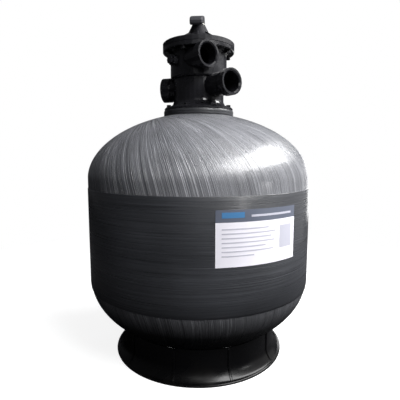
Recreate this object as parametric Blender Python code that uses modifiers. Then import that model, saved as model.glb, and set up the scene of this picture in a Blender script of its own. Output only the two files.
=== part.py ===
# Pool sand filter: filament-wound tank on a ring foot, with a top-mounted multiport valve.
# Metres, +Z up, origin on the floor under the tank's axis. The label side faces -Y.

import math

import bmesh
import bpy
from mathutils import Matrix, Vector

# Tank
TANK_RADIUS = 0.300
TANK_WALL = 0.006
TOP_DOME_START = 0.4836
TOP_DOME_RISE = 0.1740
TOP_DOME_POWER = 1.905
LOW_DOME_START = 0.2166
LOW_DOME_DROP = 0.1890
LOW_DOME_POWER = 2.0
HOOP_THICKNESS = 0.0012
HOOP_LOW = 0.197
HOOP_HIGH = 0.457
DOME_STEPS = 6

# Foot
FOOT_RADIUS = 0.236
FOOT_RIM_HEIGHT = 0.006
FOOT_WAIST_RADIUS = 0.2145
FOOT_FLARE_HEIGHT = 0.036
FOOT_WALL = 0.005
FOOT_RIBS = 10
FOOT_RIB_WIDTH = 0.006
FOOT_RIB_DEPTH = 0.0025
FOOT_RIB_START_DEG = 20.0
SEAT_WIDTH = 0.016

# Neck flange and the bolts that hold the valve to it
NECK_BORE_RADIUS = 0.0705
NECK_TUBE_WALL = 0.0065
NECK_FLANGE_RADIUS = 0.0955
NECK_FLANGE_TOP = 0.6625
NECK_INNER_RADIUS = 0.092
NECK_INNER_BOTTOM = 0.634
SEAL_CORD = 0.0040
FLANGE_BOLTS = 8
FLANGE_BOLT_CIRCLE = 0.0860
FLANGE_BOLT_RADIUS = 0.0030
FLANGE_BOLT_HEAD = 0.0060
FLANGE_BOLT_HEAD_HEIGHT = 0.0045
FLANGE_BOLT_DEPTH = 0.009
FLANGE_BOLT_START_DEG = 22.5

# Valve body: its heights stack up from the neck flange, and the cover's and the hub's stack up on the body's
VALVE_FLANGE_RADIUS = 0.094
VALVE_FLANGE_THICKNESS = 0.0085
VALVE_FLARE_TOP = 0.690
FLOOR_RISE = 0.0215
FLOOR_BOTTOM = NECK_FLANGE_TOP + FLOOR_RISE
LOWER_DRUM_HEIGHT = 0.062
DRUM_STEP = FLOOR_BOTTOM + LOWER_DRUM_HEIGHT
UPPER_DRUM_HEIGHT = 0.081
BODY_TOP = DRUM_STEP + UPPER_DRUM_HEIGHT
BODY_LIP_HEIGHT = 0.011
BODY_LIP_BOTTOM = BODY_TOP - BODY_LIP_HEIGHT
DECK_RISE = 0.0055
DECK_BOTTOM = DRUM_STEP + DECK_RISE
LOWER_DRUM_RADIUS = 0.0685
UPPER_DRUM_RADIUS = 0.0765
DRUM_WALL = 0.0065
BODY_LIP_RADIUS = 0.0970
SPIGOT_LENGTH = 0.020
SPIGOT_WALL = 0.006
FLOOR_THICKNESS = 0.006
DECK_THICKNESS = 0.006
CENTRE_TUBE_WALL = 0.0045
CHAMBERS = 6
CHAMBER_START_DEG = 25.5
RETURN_CHAMBER = 0
WASTE_CHAMBER = 4
TANK_CHAMBERS = (1, 3)
WEB_THICKNESS = 0.005
DECK_WINDOW_INNER = 0.022
DECK_WINDOW_OUTER = 0.058
PILOT_RADIUS = 0.0060

# Ports: all three have the same socket for a 50 mm pipe. The waste port comes off behind the left side
PORT_DIRECTION_DEG = 38.0
WASTE_DIRECTION_DEG = 253.0
WASTE_REACH = 0.101
PORT_BORE_RADIUS = 0.0255
PORT_TUBE_RADIUS = 0.0300
PORT_COLLAR_RADIUS = 0.0330
PORT_COLLAR_LENGTH = 0.022
PORT_REACH = 0.135
PORT_START = 0.030
PORT_BORE_START = 0.0615
PORT_WINDOW_DEG = 34.0
PORT_WINDOW_SHIFT_DEG = 3.0
PORT_RISE = 0.040
PORT_HEIGHT = FLOOR_BOTTOM + PORT_RISE
INLET_REACH = 0.098
INLET_OFFSET = 0.0445
INLET_RISE = 0.045
INLET_HEIGHT = DRUM_STEP + INLET_RISE
INLET_TUBE_RADIUS = 0.0290
INLET_BULB_PLACE = 0.036
INLET_BORE_START = 0.020

# Gauge boss and its plug
GAUGE_DIRECTION_DEG = -54.0
GAUGE_DROP = 0.038
GAUGE_HEIGHT = BODY_TOP - GAUGE_DROP
GAUGE_BOSS_RADIUS = 0.0140
GAUGE_BOSS_START = 0.060
GAUGE_BOSS_REACH = 0.088
GAUGE_BORE_RADIUS = 0.0065
GAUGE_PLUG_HEAD = 0.0110
GAUGE_PLUG_HEAD_HEIGHT = 0.006
GAUGE_PLUG_LENGTH = 0.014

# Cover and its screws
COVER_RADIUS = 0.0970
COVER_RIM_RISE = 0.012
COVER_TOP = BODY_TOP + COVER_RIM_RISE
COVER_SCREWS = 8
COVER_SCREW_CIRCLE = 0.0860
COVER_SCREW_START_DEG = -26.0
COVER_SCREW_RADIUS = 0.0026
COVER_SCREW_HEAD = 0.0048
COVER_SCREW_HEAD_HEIGHT = 0.0040
COVER_SCREW_SINK = 0.0045
COVER_SCREW_SEAT = COVER_TOP - COVER_SCREW_SINK
LUG_RADIUS = 0.0072
LUG_LENGTH = 0.007
LUG_BOTTOM = BODY_LIP_BOTTOM - LUG_LENGTH
LUG_FLOOR = 0.006
HUB_FOOT_RADIUS = 0.0310
COVER_CROWN = 0.025
HUB_FOOT_HEIGHT = COVER_TOP + COVER_CROWN
HUB_TOP_RADIUS = 0.0185
HUB_RISE = 0.026
HUB_TOP = HUB_FOOT_HEIGHT + HUB_RISE
SPRING_SEAT_RISE = 0.0193
COVER_DOME_RISES = ((0.045, 0.0175), (0.060, 0.0085), (0.078, 0.0))
COVER_CAVITY_RISES = ((0.0652, -0.002), (0.0560, 0.005), (0.0430, 0.0125), (0.0300, SPRING_SEAT_RISE))
COVER_DOME = tuple((radius, COVER_TOP + rise) for radius, rise in COVER_DOME_RISES)
COVER_CAVITY = tuple((radius, COVER_TOP + rise) for radius, rise in COVER_CAVITY_RISES)
COVER_RING_INNER = 0.0652
COVER_RING_DEPTH = 0.005
COVER_RING_BOTTOM = BODY_TOP - COVER_RING_DEPTH
COVER_RIBS = 8
COVER_RIB_WIDTH = 0.004
COVER_RIB_REACH = 0.0765

# Rotor, stem and spring
STEM_RADIUS = 0.0090
COLLAR_RADIUS = 0.0118
COLLAR_DROP = 0.003
COLLAR_LENGTH = 0.020
COLLAR_TOP = HUB_TOP - COLLAR_DROP
COLLAR_BOTTOM = COLLAR_TOP - COLLAR_LENGTH
STEM_SEAL_DROPS = (0.014, 0.007)
STEM_SEALS = tuple(COLLAR_TOP - drop for drop in STEM_SEAL_DROPS)
STEM_SEAL_CORD = 0.0030
STEM_SEAL_RING = 0.0108
ROTOR_RADIUS = 0.0655
ROTOR_DISC = 0.0080
ROTOR_HUB_RADIUS = 0.0150
ROTOR_HUB_RISE = 0.0485
ROTOR_HUB_TOP = DECK_BOTTOM + ROTOR_HUB_RISE
ROTOR_PASSAGE_INNER = 0.0320
ROTOR_PASSAGE_OUTER = 0.0580
ROTOR_PASSAGE_DEG = 98.0
ROTOR_PASSAGE_PLACE = 2.5
ROTOR_HOOD_RISE = 0.0325
ROTOR_HOOD_TOP = DECK_BOTTOM + ROTOR_HOOD_RISE
ROTOR_WINDOW_DEG = 46.0
ROTOR_WINDOW_PLACE = 0
PILOT_DROP = 0.0005
PILOT_BOTTOM = DECK_BOTTOM - PILOT_DROP
GASKET_THICKNESS = 0.0025
SPRING_SEAT = COVER_TOP + SPRING_SEAT_RISE
SPRING_FLANGE = 0.0225
SPRING_RADIUS = 0.0190
SPRING_WIRE = 0.0032
SPRING_TURNS = 5
SPRING_TURN_STEPS = 8
SPRING_WASHER_THICKNESS = 0.0012
SPRING_WASHER_RADIUS = 0.0235

# Handle, its washer and its pin. The outline is (distance, height) from the pin, once round the handle's side
HANDLE_DIRECTION_DEG = -4.0
HANDLE_WIDTH = 0.032
HANDLE_EDGE = 0.0030
HANDLE_SLOT = 0.0205
HANDLE_SLOT_HALF_LENGTH = 0.0125
HANDLE_ROOF_CLEARANCE = 0.0030
HANDLE_OUTLINE = (
    (-0.0155, -0.0072), (0.0220, -0.0072), (0.0320, -0.0090), (0.0500, -0.0155), (0.0770, -0.0280),
    (0.0850, -0.0355), (0.0935, -0.0355), (0.0960, -0.0275), (0.0930, -0.0205), (0.0820, -0.0140),
    (0.0550, -0.0037), (0.0200, 0.0093), (-0.0020, 0.0165), (-0.0125, 0.0140), (-0.0180, 0.0055),
    (-0.0180, -0.0035),
)
HANDLE_PIN_RISE = 0.0080
STEM_ABOVE_PIN = 0.0055
HANDLE_PIN_RADIUS = 0.0030
HANDLE_WASHER_THICKNESS = 0.0012
HANDLE_WASHER_RADIUS = 0.0180

# Pipework inside the tank
PIPE_RADIUS = 0.0250
PIPE_WALL = 0.0030
PIPE_TOP = 0.7300
COLLECTOR_HEIGHT = 0.0850
COLLECTOR_BOTTOM = 0.0670
COLLECTOR_TOP = 0.1180
COLLECTOR_LEDGE = 0.0990
COLLECTOR_RADIUS = 0.0460
COLLECTOR_BORE = 0.0210
LATERALS = 8
LATERAL_STEPS = 8
LATERAL_START_DEG = 22.5
LATERAL_RADIUS = 0.0120
LATERAL_WALL = 0.0030
LATERAL_END_ROOM = 0.0160
LATERAL_SEAT = 0.0350
LATERAL_WAY_RADIUS = 0.0070
LATERAL_SLOTS = 2
LATERAL_SLOT_DEPTH = 0.0018
LATERAL_SLOT_WIDTH = 0.0080
AIR_TUBE_RADIUS = 0.0030
AIR_TUBE_WALL = 0.0010
AIR_TUBE_OFFSET = 0.0315
AIR_TUBE_DEPTH = 0.0080
AIR_TUBE_TURN_DEG = 180.0
AIR_TUBE_TOP = 0.6300
STRAINER_RADIUS = 0.0045
STRAINER_LENGTH = 0.0240

# Clearances
GAP = 0.0003
RUN_GAP = 0.0004
MERGE = 0.00001
FLAT_DEG = 0.2

STEPS = 36
SMALL_STEPS = 16
PORT_STEPS = 20

# An empty scene, with one collection for the filter and one for the cutters
for old in list(bpy.data.objects):
    bpy.data.objects.remove(old, do_unlink=True)
filter_parts = bpy.data.collections.new("pool_sand_filter")
cutters = bpy.data.collections.new("cutters")
bpy.context.scene.collection.children.link(filter_parts)
bpy.context.scene.collection.children.link(cutters)


def material(name, colour, roughness, metallic=0.0):
    made = bpy.data.materials.new(name)
    made.use_nodes = True
    shader = made.node_tree.nodes["Principled BSDF"]
    shader.inputs["Base Color"].default_value = (*colour, 1.0)
    shader.inputs["Roughness"].default_value = roughness
    shader.inputs["Metallic"].default_value = metallic
    return made


WOUND_GLASS = material("wound_glass_fibre", (0.16, 0.17, 0.18), 0.35)
BLACK_ABS = material("black_abs", (0.012, 0.012, 0.014), 0.25)
BLACK_PP = material("black_polypropylene", (0.010, 0.010, 0.011), 0.40)
CHARCOAL = material("charcoal_abs", (0.045, 0.046, 0.050), 0.40)
STEEL = material("stainless_steel", (0.55, 0.55, 0.54), 0.30, 1.0)
RUBBER = material("black_rubber", (0.015, 0.015, 0.015), 0.70)
NYLON = material("white_nylon", (0.70, 0.70, 0.66), 0.45)
PIPE_PVC = material("grey_pvc", (0.25, 0.26, 0.27), 0.45)


def add(name, mesh, finish=None, group=None):
    """An object for this mesh: a part of the filter, or a cutter when it has no finish."""
    obj = bpy.data.objects.new(name, mesh)
    if finish is None:
        (group or cutters).objects.link(obj)
        obj.hide_render = True
        obj.display_type = "WIRE"
    else:
        filter_parts.objects.link(obj)
        mesh.materials.append(finish)
    return obj


def smooth(obj, degrees=35.0):
    obj.data.shade_smooth()
    obj.data.set_sharp_from_angle(angle=math.radians(degrees))
    return obj


def applied(obj):
    """Turns the object's modifiers into plain mesh."""
    graph = bpy.context.evaluated_depsgraph_get()
    graph.update()
    mesh = bpy.data.meshes.new_from_object(obj.evaluated_get(graph))
    old = obj.data
    obj.modifiers.clear()
    obj.data = mesh
    bpy.data.meshes.remove(old)
    return obj


def turned(name, profile, finish=None, ring=True, steps=STEPS):
    """A profile of (radius, height) turned about Z. A ring's profile closes on itself."""
    mesh = bpy.data.meshes.new(name)
    points = [(r, 0.0, z) for r, z in profile]
    edges = [(i, i + 1) for i in range(len(points) - 1)]
    if ring:
        edges.append((len(points) - 1, 0))
    mesh.from_pydata(points, edges, [])
    obj = add(name, mesh, finish)
    screw = obj.modifiers.new("turn", "SCREW")
    screw.steps = steps
    screw.render_steps = steps
    screw.use_merge_vertices = True
    screw.merge_threshold = MERGE
    applied(obj)
    shape = bmesh.new()
    shape.from_mesh(obj.data)
    bmesh.ops.remove_doubles(shape, verts=shape.verts, dist=MERGE)
    shape.to_mesh(obj.data)
    shape.free()
    return obj


def cylinder(name, radius, low, high, steps=SMALL_STEPS, finish=None, top_radius=None):
    """A cylinder or cone about Z between two heights."""
    shape = bmesh.new()
    bmesh.ops.create_cone(
        shape, cap_ends=True, segments=steps, radius1=radius,
        radius2=radius if top_radius is None else top_radius, depth=high - low,
    )
    bmesh.ops.translate(shape, verts=shape.verts, vec=(0, 0, (low + high) / 2))
    mesh = bpy.data.meshes.new(name)
    shape.to_mesh(mesh)
    shape.free()
    return add(name, mesh, finish)


def box(name, low, high, finish=None):
    shape = bmesh.new()
    bmesh.ops.create_cube(shape, size=1.0)
    size = Vector(high) - Vector(low)
    bmesh.ops.scale(shape, verts=shape.verts, vec=size)
    bmesh.ops.translate(shape, verts=shape.verts, vec=(Vector(low) + Vector(high)) / 2)
    mesh = bpy.data.meshes.new(name)
    shape.to_mesh(mesh)
    shape.free()
    return add(name, mesh, finish)


def sector(name, inner, outer, half_degrees, low, high, steps=5, finish=None):
    """A pie slice between two radii, centred on +X, as an outline extruded upwards."""
    angles = [math.radians(half_degrees) * (2 * i / steps - 1) for i in range(steps + 1)]
    outline = [(outer * math.cos(a), outer * math.sin(a)) for a in angles]
    outline += [(inner * math.cos(a), inner * math.sin(a)) for a in reversed(angles)]
    return extruded(name, outline, low, high, finish)


def extruded(name, outline, low, high, finish=None):
    """A flat outline of (x, y), counter-clockwise, extruded from one height to another."""
    shape = bmesh.new()
    face = shape.faces.new([shape.verts.new((x, y, low)) for x, y in outline])
    rise = bmesh.ops.extrude_face_region(shape, geom=[face])
    upper = [v for v in rise["geom"] if isinstance(v, bmesh.types.BMVert)]
    bmesh.ops.translate(shape, verts=upper, vec=(0, 0, high - low))
    bmesh.ops.recalc_face_normals(shape, faces=shape.faces)
    mesh = bpy.data.meshes.new(name)
    shape.to_mesh(mesh)
    shape.free()
    return add(name, mesh, finish)


def moved(obj, matrix):
    """Moves the mesh itself, so the object's own origin stays put."""
    obj.data.transform(matrix)
    if matrix.determinant() < 0:
        obj.data.flip_normals()
    return obj


def plate(name, outline, half_width, finish=None):
    """An outline of (distance from the axis, height), thick across, as seen from the side."""
    flat = extruded(name, outline, -half_width, half_width, finish)
    return moved(flat, Matrix.Rotation(math.radians(90), 4, "X"))


def turn_z(degrees):
    return Matrix.Rotation(math.radians(degrees), 4, "Z")


def about(degrees):
    """Turns a shape built on +X to an azimuth that is counted from -Y towards +X."""
    return turn_z(degrees - 90.0)


def combine(obj, other, operation, solver="EXACT"):
    """Unites or cuts, and leaves the other object among the cutters."""
    step = obj.modifiers.new(other.name, "BOOLEAN")
    step.operation = operation
    step.object = other
    step.solver = solver
    return applied(obj)


def cleared(obj):
    """Removes the spare edges that Booleans leave across flat faces."""
    shape = bmesh.new()
    shape.from_mesh(obj.data)
    bmesh.ops.dissolve_limit(
        shape, angle_limit=math.radians(FLAT_DEG), use_dissolve_boundaries=False,
        verts=shape.verts, edges=shape.edges,
    )
    bmesh.ops.triangulate(shape, faces=shape.faces)
    shape.to_mesh(obj.data)
    shape.free()
    return obj


def joined(name, shapes):
    """Several separate shapes as the meshes of one helper object."""
    shape = bmesh.new()
    for each in shapes:
        shape.from_mesh(each.data)
    mesh = bpy.data.meshes.new(name)
    shape.to_mesh(mesh)
    shape.free()
    for each in shapes:
        bpy.data.objects.remove(each, do_unlink=True)
    return add(name, mesh)


def arc(centre, radius, start, end, steps):
    """Points of an arc in the (radius, height) plane, angles in degrees from +radius."""
    angles = [math.radians(start + (end - start) * i / steps) for i in range(steps + 1)]
    return [(centre[0] + radius * math.cos(a), centre[1] + radius * math.sin(a)) for a in angles]


def oval(share, power):
    """Radius share of a dome at this share of its height."""
    return (1 - share**power) ** (1 / power)


def top_dome_height(radius, inset=0.0):
    """Height of the upper dome's skin at a radius, for a skin set in by the wall."""
    share = oval(radius / (TANK_RADIUS - inset), TOP_DOME_POWER)
    return TOP_DOME_START + (TOP_DOME_RISE - inset) * share


def low_dome_height(radius, inset=0.0):
    share = oval(radius / (TANK_RADIUS - inset), LOW_DOME_POWER)
    return LOW_DOME_START - (LOW_DOME_DROP - inset) * share


def dome_radii(inner_radius, inset, steps):
    """Radii from the neck or pole out to the cylinder, closer together near the cylinder."""
    full = TANK_RADIUS - inset
    start = math.asin(inner_radius / full)
    return [full * math.sin(start + (math.pi / 2 - start) * i / steps) for i in range(steps)]


# Tank: one wound wall with an open neck and a thicker band of hoop windings round the cylinder
NECK_HOLE_RADIUS = NECK_BORE_RADIUS + NECK_TUBE_WALL + GAP


def tank_shell():
    low_inner = [(r, low_dome_height(r, TANK_WALL)) for r in dome_radii(0.0, TANK_WALL, DOME_STEPS)]
    inner_radius = TANK_RADIUS - TANK_WALL
    inner_radii = [NECK_HOLE_RADIUS, *dome_radii(NECK_INNER_RADIUS, TANK_WALL, DOME_STEPS)]
    top_inner = [(r, top_dome_height(r, TANK_WALL)) for r in reversed(inner_radii)]
    outer_radii = [NECK_HOLE_RADIUS, *dome_radii(NECK_FLANGE_RADIUS, 0.0, DOME_STEPS)]
    top_outer = [(r, top_dome_height(r)) for r in outer_radii]
    seat_radii = [FOOT_WAIST_RADIUS - SEAT_WIDTH, FOOT_WAIST_RADIUS]
    low_radii = sorted(dome_radii(0.0, 0.0, DOME_STEPS + 1) + seat_radii, reverse=True)
    low_outer = [(r, low_dome_height(r)) for r in low_radii]
    band_low_radius = TANK_RADIUS * oval((LOW_DOME_START - HOOP_LOW) / LOW_DOME_DROP, LOW_DOME_POWER)
    low_outer = [(r, z) for r, z in low_outer if z < HOOP_LOW - 2 * HOOP_THICKNESS]
    band = [
        (TANK_RADIUS, TOP_DOME_START),
        (TANK_RADIUS, HOOP_HIGH + HOOP_THICKNESS),
        (TANK_RADIUS + HOOP_THICKNESS, HOOP_HIGH),
        (TANK_RADIUS + HOOP_THICKNESS, LOW_DOME_START),
        (band_low_radius + HOOP_THICKNESS, HOOP_LOW),
        (band_low_radius, HOOP_LOW - HOOP_THICKNESS),
    ]
    cylinder_inner = [(inner_radius, LOW_DOME_START), (inner_radius, TOP_DOME_START)]
    profile = low_inner + cylinder_inner + top_inner + top_outer + band + low_outer
    return smooth(turned("tank_shell", profile, WOUND_GLASS, ring=False))


# Foot: a flared skirt with a rolled rim, ribs outside, and a seat that follows the tank's lower dome
def tank_base():
    seat_outer = FOOT_WAIST_RADIUS
    seat_inner = FOOT_WAIST_RADIUS - SEAT_WIDTH
    flare = [
        (
            FOOT_WAIST_RADIUS + (FOOT_RADIUS - 0.007 - FOOT_WAIST_RADIUS) * (1 - i / 4) ** 2,
            FOOT_RIM_HEIGHT + 0.002 + (FOOT_FLARE_HEIGHT - FOOT_RIM_HEIGHT) * i / 4,
        )
        for i in range(5)
    ]
    outer = [(seat_outer, low_dome_height(seat_outer) - GAP)] + flare[::-1]
    rim = [(FOOT_RADIUS - 0.003, FOOT_RIM_HEIGHT), (FOOT_RADIUS, FOOT_RIM_HEIGHT - 0.003)]
    rim += [(FOOT_RADIUS, 0.002)]
    rim += [(FOOT_RADIUS - 0.002, 0.0), (FOOT_RADIUS - 0.016, 0.0), (FOOT_RADIUS - 0.016, 0.004)]
    inner = [(r - FOOT_WALL, z) for r, z in flare[1:]]
    inner += [(seat_outer - FOOT_WALL, 0.066), (seat_inner, 0.070)]
    inner += [(seat_inner, low_dome_height(seat_inner) - GAP)]
    base = turned("tank_base", outer + rim + inner, BLACK_PP)
    ribs = []
    for i in range(FOOT_RIBS):
        line = [*flare, (seat_outer, low_dome_height(seat_outer) - 0.004)]
        outline = [(r - 0.002, z) for r, z in line] + [(r + FOOT_RIB_DEPTH, z) for r, z in reversed(line)]
        rib = plate(f"foot_rib_{i}", outline, FOOT_RIB_WIDTH / 2)
        ribs.append(moved(rib, about(FOOT_RIB_START_DEG + i * 360 / FOOT_RIBS)))
    return smooth(cleared(combine(base, joined("foot_ribs", ribs), "UNION")))


# Neck flange: a collar above the dome, a tube through it and a flange below it
SEAL_GROOVE_RADIUS = NECK_BORE_RADIUS + 0.0035 + SEAL_CORD / 2
SEAL_GROOVE_DEPTH = SEAL_CORD + GAP
FLANGE_JOINT = NECK_FLANGE_TOP + GAP


def screw_holes(name, count, circle, start, radius, low, high):
    holes = []
    for i in range(count):
        hole = cylinder(f"{name}_{i}", radius, low, high, 8)
        place = about(start + i * 360 / count) @ Matrix.Translation((circle, 0, 0))
        holes.append(moved(hole, place))
    return joined(name, holes)


def neck_flange():
    tube_outer = NECK_BORE_RADIUS + NECK_TUBE_WALL
    groove = SEAL_CORD / 2 + GAP
    profile = [
        (NECK_BORE_RADIUS, NECK_INNER_BOTTOM),
        (NECK_BORE_RADIUS, NECK_FLANGE_TOP),
        (SEAL_GROOVE_RADIUS - groove, NECK_FLANGE_TOP),
        (SEAL_GROOVE_RADIUS - groove, NECK_FLANGE_TOP - SEAL_GROOVE_DEPTH),
        (SEAL_GROOVE_RADIUS + groove, NECK_FLANGE_TOP - SEAL_GROOVE_DEPTH),
        (SEAL_GROOVE_RADIUS + groove, NECK_FLANGE_TOP),
        (NECK_FLANGE_RADIUS - 0.002, NECK_FLANGE_TOP),
        (NECK_FLANGE_RADIUS, NECK_FLANGE_TOP - 0.002),
        (NECK_FLANGE_RADIUS, top_dome_height(NECK_FLANGE_RADIUS) + 0.003),
        (NECK_FLANGE_RADIUS - 0.002, top_dome_height(NECK_FLANGE_RADIUS - 0.002) + GAP),
        (tube_outer + GAP + 0.002, top_dome_height(tube_outer + 0.002) + GAP + 0.0002),
        (tube_outer, top_dome_height(tube_outer) + GAP + 0.0002),
        (tube_outer, top_dome_height(tube_outer, TANK_WALL) - GAP - 0.0002),
        (NECK_INNER_RADIUS, top_dome_height(NECK_INNER_RADIUS, TANK_WALL) - GAP - 0.0002),
        (NECK_INNER_RADIUS, NECK_INNER_BOTTOM + 0.002),
        (NECK_INNER_RADIUS - 0.002, NECK_INNER_BOTTOM),
    ]
    flange = turned("neck_flange", profile, CHARCOAL)
    holes = screw_holes(
        "neck_bolt_holes", FLANGE_BOLTS, FLANGE_BOLT_CIRCLE, FLANGE_BOLT_START_DEG,
        FLANGE_BOLT_RADIUS + GAP, NECK_FLANGE_TOP - FLANGE_BOLT_DEPTH - GAP, NECK_FLANGE_TOP + 0.01,
    )
    return smooth(cleared(combine(flange, holes, "DIFFERENCE")))


def torus(name, ring_radius, cord_radius, height, steps=STEPS, sides=6, finish=None):
    profile = [
        (ring_radius + cord_radius * math.cos(-2 * math.pi * i / sides),
         height + cord_radius * math.sin(-2 * math.pi * i / sides))
        for i in range(sides)
    ]
    return smooth(turned(name, profile, finish, steps=steps), 60.0)


def neck_seal():
    height = NECK_FLANGE_TOP - SEAL_CORD / 2
    return torus("neck_seal", SEAL_GROOVE_RADIUS, SEAL_CORD / 2, height, finish=RUBBER)


def flange_bolts():
    seat = FLANGE_JOINT + VALVE_FLANGE_THICKNESS + GAP
    for i in range(FLANGE_BOLTS):
        head = cylinder(f"flange_bolt_{i + 1}", FLANGE_BOLT_HEAD, seat, seat + FLANGE_BOLT_HEAD_HEIGHT, 6,
                        STEEL)
        shank = cylinder("bolt_shank", FLANGE_BOLT_RADIUS, NECK_FLANGE_TOP - FLANGE_BOLT_DEPTH, seat + 0.001,
                         8)
        bolt = combine(head, shank, "UNION")
        place = about(FLANGE_BOLT_START_DEG + i * 360 / FLANGE_BOLTS)
        moved(bolt, place @ Matrix.Translation((FLANGE_BOLT_CIRCLE, 0, 0)))


tank_shell()
tank_base()
neck_flange()
neck_seal()
flange_bolts()


# Valve body: two drums with a top lip and a bottom flange, three ports, and the passages inside
def laid_cylinder(name, radius, start, end, direction_deg, offset, height, steps=SMALL_STEPS, finish=None,
                  top_radius=None):
    """A cylinder along an azimuth, between two distances from the axis, moved sideways by offset."""
    tube = cylinder(name, radius, start, end, steps, finish, top_radius)
    tube = moved(tube, Matrix.Rotation(math.radians(90), 4, "Y"))
    return moved(tube, about(direction_deg) @ Matrix.Translation((0, -offset, height)))


def port_outside(name, direction_deg, offset, height, start, reach, tube_radius):
    """A port's tube with its thicker socket collar, as one closed shape."""
    tube = laid_cylinder(name, tube_radius, start, reach - 0.001, direction_deg, offset, height, PORT_STEPS)
    collar = laid_cylinder(
        "collar", PORT_COLLAR_RADIUS, reach - PORT_COLLAR_LENGTH, reach, direction_deg, offset, height,
        PORT_STEPS,
    )
    tube = combine(tube, collar, "UNION")
    slope = laid_cylinder(
        "collar_slope", tube_radius - 0.0005, reach - PORT_COLLAR_LENGTH - 0.006,
        reach - PORT_COLLAR_LENGTH + 0.0005, direction_deg, offset, height, PORT_STEPS,
        top_radius=PORT_COLLAR_RADIUS - 0.0002,
    )
    return combine(tube, slope, "UNION")


def port_bore(name, direction_deg, offset, height, start, reach):
    bore = laid_cylinder(name, PORT_BORE_RADIUS, start, reach + 0.004, direction_deg, offset, height,
                         PORT_STEPS)
    mouth = laid_cylinder(
        "mouth", PORT_BORE_RADIUS, reach - 0.003, reach + 0.001, direction_deg, offset, height, PORT_STEPS,
        top_radius=PORT_BORE_RADIUS + 0.004,
    )
    return combine(bore, mouth, "UNION")


def ball(name, radius, centre, steps=32):
    shape = bmesh.new()
    bmesh.ops.create_uvsphere(shape, u_segments=steps, v_segments=steps // 2, radius=radius)
    mesh = bpy.data.meshes.new(name)
    shape.to_mesh(mesh)
    shape.free()
    return moved(add(name, mesh), Matrix.Translation(centre))


FLOOR_TOP = FLOOR_BOTTOM + FLOOR_THICKNESS
DECK_TOP = DECK_BOTTOM + DECK_THICKNESS
BODY_BORE = UPPER_DRUM_RADIUS - DRUM_WALL
CHAMBER_BORE = LOWER_DRUM_RADIUS - DRUM_WALL
CENTRE_BORE = PIPE_RADIUS + RUN_GAP
CENTRE_TUBE_RADIUS = CENTRE_BORE + CENTRE_TUBE_WALL
SPIGOT_RADIUS = NECK_BORE_RADIUS - GAP
SPIGOT_BOTTOM = FLANGE_JOINT - SPIGOT_LENGTH


def body_outside():
    """The turned outside of the body, solid, with the spigot that enters the neck."""
    flange_top = FLANGE_JOINT + VALVE_FLANGE_THICKNESS
    flare = [
        (LOWER_DRUM_RADIUS + 0.0115 * (1 - i / 4) ** 2, flange_top + (VALVE_FLARE_TOP - flange_top) * i / 4)
        for i in range(5)
    ]
    profile = [(0.0, BODY_TOP), (BODY_LIP_RADIUS - 0.001, BODY_TOP), (BODY_LIP_RADIUS, BODY_TOP - 0.001)]
    profile += [(BODY_LIP_RADIUS, BODY_LIP_BOTTOM + 0.0015), (BODY_LIP_RADIUS - 0.0015, BODY_LIP_BOTTOM)]
    profile += arc((UPPER_DRUM_RADIUS + 0.006, BODY_LIP_BOTTOM - 0.006), 0.006, 90, 180, 2)
    profile += arc((UPPER_DRUM_RADIUS - 0.004, DRUM_STEP + 0.004), 0.004, 0, -90, 2)
    profile += [(LOWER_DRUM_RADIUS, DRUM_STEP)] + flare[::-1]
    profile += [(VALVE_FLANGE_RADIUS - 0.003, flange_top), (VALVE_FLANGE_RADIUS, flange_top - 0.003)]
    profile += [(VALVE_FLANGE_RADIUS, FLANGE_JOINT + 0.001), (VALVE_FLANGE_RADIUS - 0.001, FLANGE_JOINT)]
    profile += [(SPIGOT_RADIUS, FLANGE_JOINT), (SPIGOT_RADIUS, SPIGOT_BOTTOM), (0.0, SPIGOT_BOTTOM)]
    return turned("valve_body", profile, BLACK_ABS, ring=False)


def body_additions():
    """Ports, gauge boss and screw lugs."""
    outer = [
        port_outside("pump_port", PORT_DIRECTION_DEG, INLET_OFFSET, INLET_HEIGHT,
                     INLET_BULB_PLACE, INLET_REACH, INLET_TUBE_RADIUS),
        port_outside("return_port", PORT_DIRECTION_DEG, 0.0, PORT_HEIGHT,
                     PORT_START, PORT_REACH, PORT_TUBE_RADIUS),
        port_outside("waste_port", WASTE_DIRECTION_DEG, 0.0, PORT_HEIGHT,
                     PORT_START, WASTE_REACH, PORT_TUBE_RADIUS),
        laid_cylinder("gauge_boss", GAUGE_BOSS_RADIUS, GAUGE_BOSS_START, GAUGE_BOSS_REACH,
                      GAUGE_DIRECTION_DEG, 0.0, GAUGE_HEIGHT),
    ]
    along = about(PORT_DIRECTION_DEG)
    outer.append(ball("inlet_bulb", INLET_TUBE_RADIUS,
                      along @ Vector((INLET_BULB_PLACE, -INLET_OFFSET, INLET_HEIGHT)), 20))
    for i in range(COVER_SCREWS):
        lug = cylinder(f"lug_{i}", LUG_RADIUS, LUG_BOTTOM, BODY_LIP_BOTTOM + 0.004, 8)
        reach = COVER_SCREW_CIRCLE - UPPER_DRUM_RADIUS + 0.003
        web = box(f"lug_web_{i}", (-reach, -0.003, LUG_BOTTOM + 0.0005),
                  (0.0, 0.003, BODY_LIP_BOTTOM + 0.003))
        lug = combine(lug, web, "UNION")
        angle = COVER_SCREW_START_DEG + i * 360 / COVER_SCREWS
        outer.append(moved(lug, about(angle) @ Matrix.Translation((COVER_SCREW_CIRCLE, 0, 0))))
    return outer


def chamber_azimuth(place):
    """Azimuth of a chamber's middle, or of the web after it when half a place is added."""
    return CHAMBER_START_DEG + place * 360 / CHAMBERS


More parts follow.
